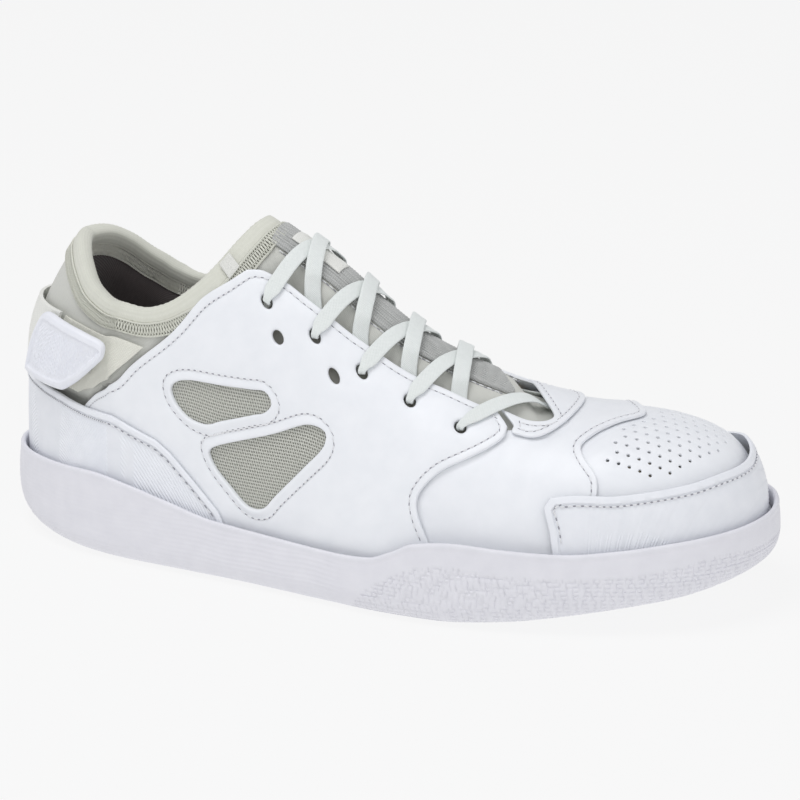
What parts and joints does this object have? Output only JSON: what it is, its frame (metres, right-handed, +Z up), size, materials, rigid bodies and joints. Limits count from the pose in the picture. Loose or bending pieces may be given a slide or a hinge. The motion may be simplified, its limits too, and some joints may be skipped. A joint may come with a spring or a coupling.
{
  "type": "cheer shoe",
  "caption": "Low-top athletic cheer shoe for the right foot: cupsole, laced leather upper over a stretch bootie with a knit tongue, and a heel strap with a lifting hook-and-loop tab.",
  "frame": {"origin": "on the ground under the middle of the sole's length and width", "axes": "+X towards the toe, -Y to the outer (lateral) side, +Z up"},
  "size_m": [0.286, 0.106, 0.1227],
  "materials": {
    "white_leather": "smooth grained leather",
    "embossed_overlay": "embossed with a fine grid",
    "moulded_tab": "satin moulded plastic, fine grid",
    "sole_rubber": "satin rubber, brick relief on the forefoot",
    "foam": "closed-cell foam",
    "fibre_board": "stiff fibre board",
    "neoprene": "knit-faced neoprene",
    "binding": "folded elastic binding",
    "lining_knit": "brushed knit",
    "window_mesh": "fine woven mesh",
    "rib_knit": "ribbed knit",
    "backer": "woven backing",
    "webbing": "diagonal-rib webbing",
    "hook_and_loop": "hook and loop tape",
    "lace_cord": "flat woven lace",
    "aglet_film": "clear film tip"
  },
  "bodies": {
    "shoe": {"aglet_lateral": "aglet_film", "aglet_medial": "aglet_film", "anchor_loop_lateral": "webbing", "anchor_loop_medial": "webbing", "bootie": "neoprene", "collar_binding": "binding", "eyestay_backer_lateral": "backer", "eyestay_backer_medial": "backer", "heel_counter": "fibre_board", "heel_overlay": "embossed_overlay", "lace": "lace_cord", "lace_keeper": "webbing", "lasting_board": "fibre_board", "lining": "lining_knit", "loop_pad": "hook_and_loop", "mesh_lateral": "window_mesh", "mesh_medial": "window_mesh", "midsole_insert": "foam", "outsole": "sole_rubber", "quarter_lateral": "white_leather", "quarter_medial": "white_leather", "sockliner": "foam", "strap_band": "webbing", "strap_base": "webbing", "strap_patch": "webbing", "throat_overlay": "white_leather", "toe_overlay": "embossed_overlay", "toe_panel": "white_leather", "toe_puff": "fibre_board", "tongue_rib_panel": "rib_knit", "vamp": "white_leather"},
    "strap_tab": {"tab_shell": "moulded_tab", "tab_webbing": "webbing", "hook_pad": "hook_and_loop"}
  },
  "joints": [
    {"name": "strap_tab_peel", "type": "hinge", "parent": "shoe", "child": "strap_tab", "pos_m": [-0.12819, -0.02184, 0.06235], "axis": [-0.3904, 0.1005, -0.9152], "range_deg": [0, 100]}
  ]
}
